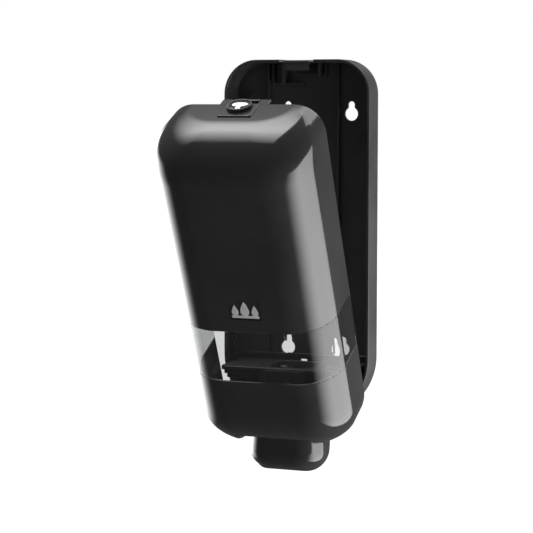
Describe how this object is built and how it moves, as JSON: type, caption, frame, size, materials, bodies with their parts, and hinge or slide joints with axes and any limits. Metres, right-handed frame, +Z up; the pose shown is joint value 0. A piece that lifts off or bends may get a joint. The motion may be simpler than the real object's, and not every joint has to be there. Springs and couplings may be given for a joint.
{
  "type": "wall mounted soap dispenser",
  "caption": "Wall mounted soap dispenser with a tilting lockable cover, a clear level window and a sprung push bar under it.",
  "frame": {"origin": "on the wall face of the back plate, midway between its sides and at half its height", "axes": "+Z up, +Y into the wall, +X to the right of someone who faces the dispenser"},
  "size_m": [0.112, 0.169, 0.298],
  "materials": {
    "gloss_black": "gloss black moulded ABS",
    "satin_black": "satin black moulded plastic",
    "clear_window": "clear moulded polycarbonate",
    "steel": "zinc plated steel",
    "grey_print": "grey badge",
    "white_insert": "white moulded plastic"
  },
  "bodies": {
    "wall_unit": {"back_plate": "satin_black", "bottle_shelf": "satin_black", "pivot_rod": "steel", "shelf_screw_1": "steel", "shelf_screw_2": "steel", "shelf_screw_3": "steel", "shelf_screw_4": "steel", "hinge_pin_left": "steel", "hinge_pin_right": "steel", "guide_post_left": "steel", "guide_post_right": "steel", "return_spring_left": "steel", "return_spring_right": "steel"},
    "cover": {"cover_shell": "gloss_black", "window_band": "clear_window", "cover_chin": "gloss_black", "badge": "grey_print", "lock_ring": "satin_black", "lock_housing": "satin_black", "housing_screw_left": "steel", "housing_screw_right": "steel", "latch_spring": "steel"},
    "lock_barrel": {"lock_barrel": "satin_black", "key_insert": "white_insert"},
    "latch": {"latch_slide": "satin_black"},
    "push_bar": {"push_bar": "gloss_black"},
    "pump_yoke": {"pump_yoke": "satin_black"}
  },
  "joints": [
    {"name": "cover_hinge", "type": "hinge", "parent": "wall_unit", "child": "cover", "pos_m": [0, -0.0093, -0.1215], "axis": [1, 0, 0], "range_deg": [-25, 48]},
    {"name": "lock_turn", "type": "hinge", "parent": "cover", "child": "lock_barrel", "pos_m": [0, -0.1333, 0.09663], "axis": [0, -0.4226, 0.9063], "range_deg": [0, 90]},
    {"name": "latch_drop", "type": "slide", "parent": "cover", "child": "latch", "axis": [0, 0.4226, -0.9063], "range_m": [0, 0.005], "stiffness_N_per_m": 40, "springref_m": -0.004, "deforming": ["latch_spring"]},
    {"name": "bar_press", "type": "hinge", "parent": "wall_unit", "child": "push_bar", "pos_m": [0, -0.038, -0.104], "axis": [1, 0, 0], "range_deg": [0, 13], "stiffness_Nm_per_rad": 0.8, "springref_deg": -20.05},
    {"name": "yoke_lift", "type": "slide", "parent": "wall_unit", "child": "pump_yoke", "axis": [0, 0, 1], "range_m": [0, 0.0046], "deforming": ["return_spring_left", "return_spring_right"]}
  ],
  "couplings": [
    {"joint": "lock_turn", "follows": "latch_drop", "rad_per_m": 314.16},
    {"joint": "yoke_lift", "follows": "bar_press", "m_per_rad": 0.02027}
  ]
}
